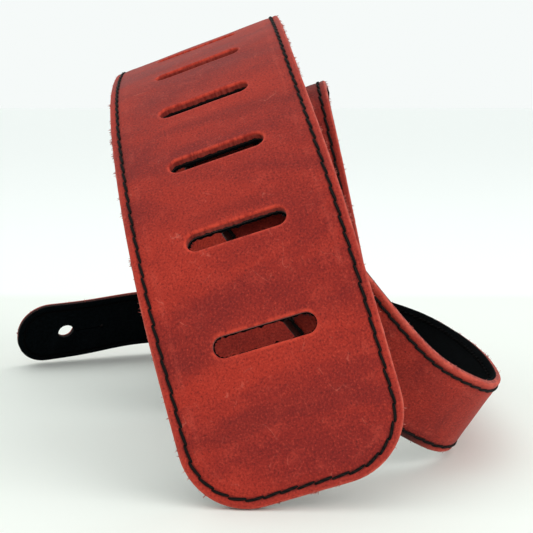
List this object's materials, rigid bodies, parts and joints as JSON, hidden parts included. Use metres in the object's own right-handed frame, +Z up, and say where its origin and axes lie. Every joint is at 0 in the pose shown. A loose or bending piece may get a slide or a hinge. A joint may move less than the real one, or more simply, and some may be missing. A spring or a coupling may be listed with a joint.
{
  "type": "guitar strap",
  "caption": "Two-piece stitched leather strap, loosely rolled, with a slotted wide strap and a narrow tongue threaded through it.",
  "frame": {"origin": "centre of the rolled strap's box, on the surface that it stands on", "axes": "+Z up; the slotted end faces -Y and the strap's width runs mostly along X, so the roll turns about X"},
  "size_m": [0.1926, 0.261, 0.153],
  "materials": {
    "red_leather": "matt pull-up leather with light scuffs",
    "black_lining": "black suede, no gloss",
    "black_thread": "waxed sewing thread"
  },
  "bodies": {
    "strap": {"strap_leather": "red_leather", "strap_lining": "black_lining", "strap_needle_thread": "black_thread", "strap_bobbin_thread": "black_thread"},
    "tongue": {"tongue_leather": "red_leather", "tongue_lining": "black_lining", "tongue_needle_thread": "black_thread", "tongue_bobbin_thread": "black_thread"},
    "tip": {"tip_leather": "red_leather", "tip_lining": "black_lining", "tip_needle_thread": "black_thread", "tip_bobbin_thread": "black_thread"}
  },
  "joints": [
    {"name": "tongue_swing", "type": "hinge", "parent": "strap", "child": "tongue", "pos_m": [-0.00421, 0.07712, 0.11585], "axis": [0, 0, 1], "range_deg": [-3, 3]},
    {"name": "tip_flex", "type": "hinge", "parent": "tongue", "child": "tip", "pos_m": [-0.03833, 0.10765, 0.01878], "axis": [0.1674, -0.4697, 0.8668], "range_deg": [-25, 0], "stiffness_Nm_per_rad": 0.03}
  ]
}
